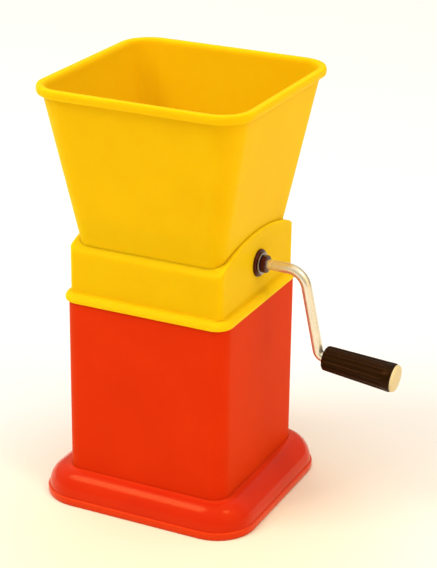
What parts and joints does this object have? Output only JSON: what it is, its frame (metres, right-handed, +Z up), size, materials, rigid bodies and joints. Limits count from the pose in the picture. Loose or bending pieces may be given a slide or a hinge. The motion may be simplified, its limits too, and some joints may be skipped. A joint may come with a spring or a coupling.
{
  "type": "rotary cheese grater",
  "caption": "Hand-cranked rotary grater with a flared square hopper, a perforated drum in a vaulted housing, and a collecting bin on a flared base.",
  "frame": {"origin": "centre of the bin's underside, on the table", "axes": "+X along the drum shaft, out of the crank side; -Y is the front; +Z up"},
  "size_m": [0.1844, 0.119, 0.23],
  "materials": {
    "red_plastic": "moulded, satin gloss",
    "yellow_plastic": "moulded, satin gloss",
    "bush_plastic": "moulded",
    "hub_plastic": "moulded",
    "rod_steel": "bright plated",
    "drum_steel": "rolled sheet",
    "fastener_steel": "zinc plated",
    "grip_plastic": "moulded, fluted",
    "cap_plastic": "moulded"
  },
  "bodies": {
    "bin": {"container": "red_plastic", "base_stand": "red_plastic"},
    "head": {"drum_housing": "yellow_plastic", "hopper": "yellow_plastic", "hopper_screws": "fastener_steel", "throat_funnel": "hub_plastic", "drive_bush": "bush_plastic", "far_bush": "bush_plastic", "bush_locknuts": "bush_plastic"},
    "rotor": {"crank_rod": "rod_steel", "drive_washer": "fastener_steel", "far_washer": "fastener_steel", "far_nut": "fastener_steel", "shaft_collar": "bush_plastic", "collar_grub_screw": "fastener_steel", "grating_drum": "drum_steel", "drum_hub_near": "hub_plastic", "drum_hub_far": "hub_plastic", "drive_pins": "fastener_steel", "thrust_washers": "fastener_steel", "grip_retainer": "fastener_steel"},
    "grip": {"grip_sleeve": "grip_plastic", "grip_cap": "cap_plastic"}
  },
  "joints": [
    {"name": "head_lift", "type": "slide", "parent": "bin", "child": "head", "axis": [0, 0, 1], "range_m": [0, 0.06]},
    {"name": "crank_spin", "type": "hinge", "parent": "head", "child": "rotor", "pos_m": [0, 0, 0.1351], "axis": [1, 0, 0], "continuous": true},
    {"name": "grip_spin", "type": "hinge", "parent": "rotor", "child": "grip", "pos_m": [0.07909, 0, 0.08969], "axis": [0.9956, 0, -0.0941], "continuous": true}
  ]
}
